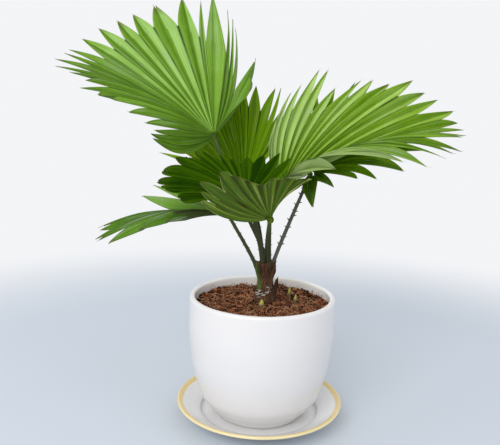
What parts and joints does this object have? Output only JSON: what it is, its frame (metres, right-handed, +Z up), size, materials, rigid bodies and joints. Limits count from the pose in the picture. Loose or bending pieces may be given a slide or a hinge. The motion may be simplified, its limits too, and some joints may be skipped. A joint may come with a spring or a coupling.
{
  "type": "potted chinese fan palm",
  "caption": "Young fan palm with pleated, split fan leaves on thorny stalks, rooted in coir soil in a tapered glazed pot that stands in a shallow saucer.",
  "frame": {"origin": "on the ground under the pot's axis, at the middle of the saucer's flat foot", "axes": "+Z up along the pot's axis; +Y points away from the side that the picture shows, and +X to that view's right"},
  "size_m": [0.4159, 0.1732, 0.4371],
  "materials": {
    "saucer_glaze": "gloss",
    "pot_glaze": "gloss",
    "coir_soil": "matte",
    "trunk_fibre": "matte",
    "young_shoot": "satin",
    "leaf_green": "satin",
    "leaf_yellow_green": "satin",
    "leaf_dark_green": "satin",
    "leaf_olive": "satin"
  },
  "bodies": {
    "root": {"saucer": "saucer_glaze", "pot": "pot_glaze", "soil": "coir_soil", "trunk": "trunk_fibre", "shoot_front": "young_shoot", "shoot_right": "young_shoot", "shoot_far_right": "young_shoot", "frond_upper_left": "leaf_green", "frond_right": "leaf_yellow_green", "frond_right_behind": "leaf_dark_green", "frond_front": "leaf_olive", "frond_middle": "leaf_dark_green", "frond_lower_left": "leaf_green", "frond_back": "leaf_dark_green"}
  },
  "joints": []
}
